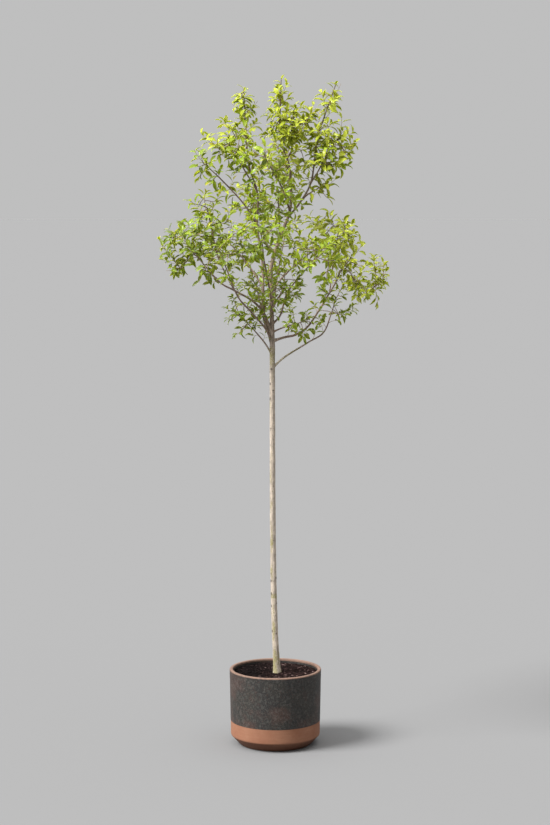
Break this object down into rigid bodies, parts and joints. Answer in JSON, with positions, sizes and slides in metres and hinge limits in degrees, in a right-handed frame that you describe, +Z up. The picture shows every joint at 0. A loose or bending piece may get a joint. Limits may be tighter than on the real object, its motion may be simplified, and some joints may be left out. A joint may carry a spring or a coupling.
{
  "type": "cherry laurel tree in a pot",
  "caption": "Potted cherry laurel grown as a standard: a tall clear trunk, forked leaders and boughs, and an open lobed crown of glossy leaves over a round glazed tub.",
  "frame": {"origin": "centre of the pot's flat underside", "axes": "+Z up along the trunk; +X to the right as the long right-hand bough reaches; -Y is the front"},
  "size_m": [1.8416, 1.5767, 5.2928],
  "materials": {
    "glazed_clay": "dark speckled matt glaze over bare terracotta at the rim, foot band and chamfer",
    "compost": "crumbly, dark and slightly damp, with bark chips",
    "bark": "smooth pale bark with small knots and green-yellow algae low down",
    "leaves_low": "deep green, semi-gloss",
    "leaves_middle": "mid green, semi-gloss",
    "leaves_upper": "fresh green, semi-gloss",
    "leaves_top": "young yellow-green, semi-gloss"
  },
  "bodies": {
    "root": {"pot": "glazed_clay", "soil": "compost", "trunk": "bark", "main_leader": "bark", "left_leader": "bark", "right_leader": "bark", "left_outer_bough": "bark", "left_upper_bough": "bark", "left_front_bough": "bark", "left_back_bough": "bark", "left_low_bough": "bark", "front_bough": "bark", "front_low_bough": "bark", "back_bough": "bark", "back_low_bough": "bark", "right_front_bough": "bark", "right_back_bough": "bark", "right_outer_bough": "bark", "right_top_bough": "bark", "right_low_bough": "bark", "right_inner_bough": "bark", "waist_left_bough": "bark", "upper_left_bough": "bark", "upper_front_bough": "bark", "upper_back_bough": "bark", "upper_right_bough": "bark", "waist_right_bough": "bark", "middle_front_bough": "bark", "middle_back_bough": "bark", "upper_top_bough": "bark", "left_outer_foliage": "leaves_middle", "left_upper_foliage": "leaves_middle", "left_front_foliage": "leaves_middle", "left_back_foliage": "leaves_middle", "left_low_foliage": "leaves_low", "front_foliage": "leaves_middle", "front_low_foliage": "leaves_low", "back_foliage": "leaves_middle", "back_low_foliage": "leaves_low", "right_front_foliage": "leaves_middle", "right_back_foliage": "leaves_middle", "right_top_foliage": "leaves_middle", "right_outer_foliage": "leaves_low", "right_low_foliage": "leaves_low", "right_inner_foliage": "leaves_low", "waist_left_foliage": "leaves_upper", "upper_left_foliage": "leaves_upper", "upper_front_foliage": "leaves_upper", "upper_back_foliage": "leaves_upper", "upper_right_foliage": "leaves_upper", "waist_right_foliage": "leaves_middle", "middle_front_foliage": "leaves_middle", "middle_back_foliage": "leaves_middle", "upper_top_foliage": "leaves_upper", "top_foliage": "leaves_top", "top_left_foliage": "leaves_top", "top_right_foliage": "leaves_top"}
  },
  "joints": []
}
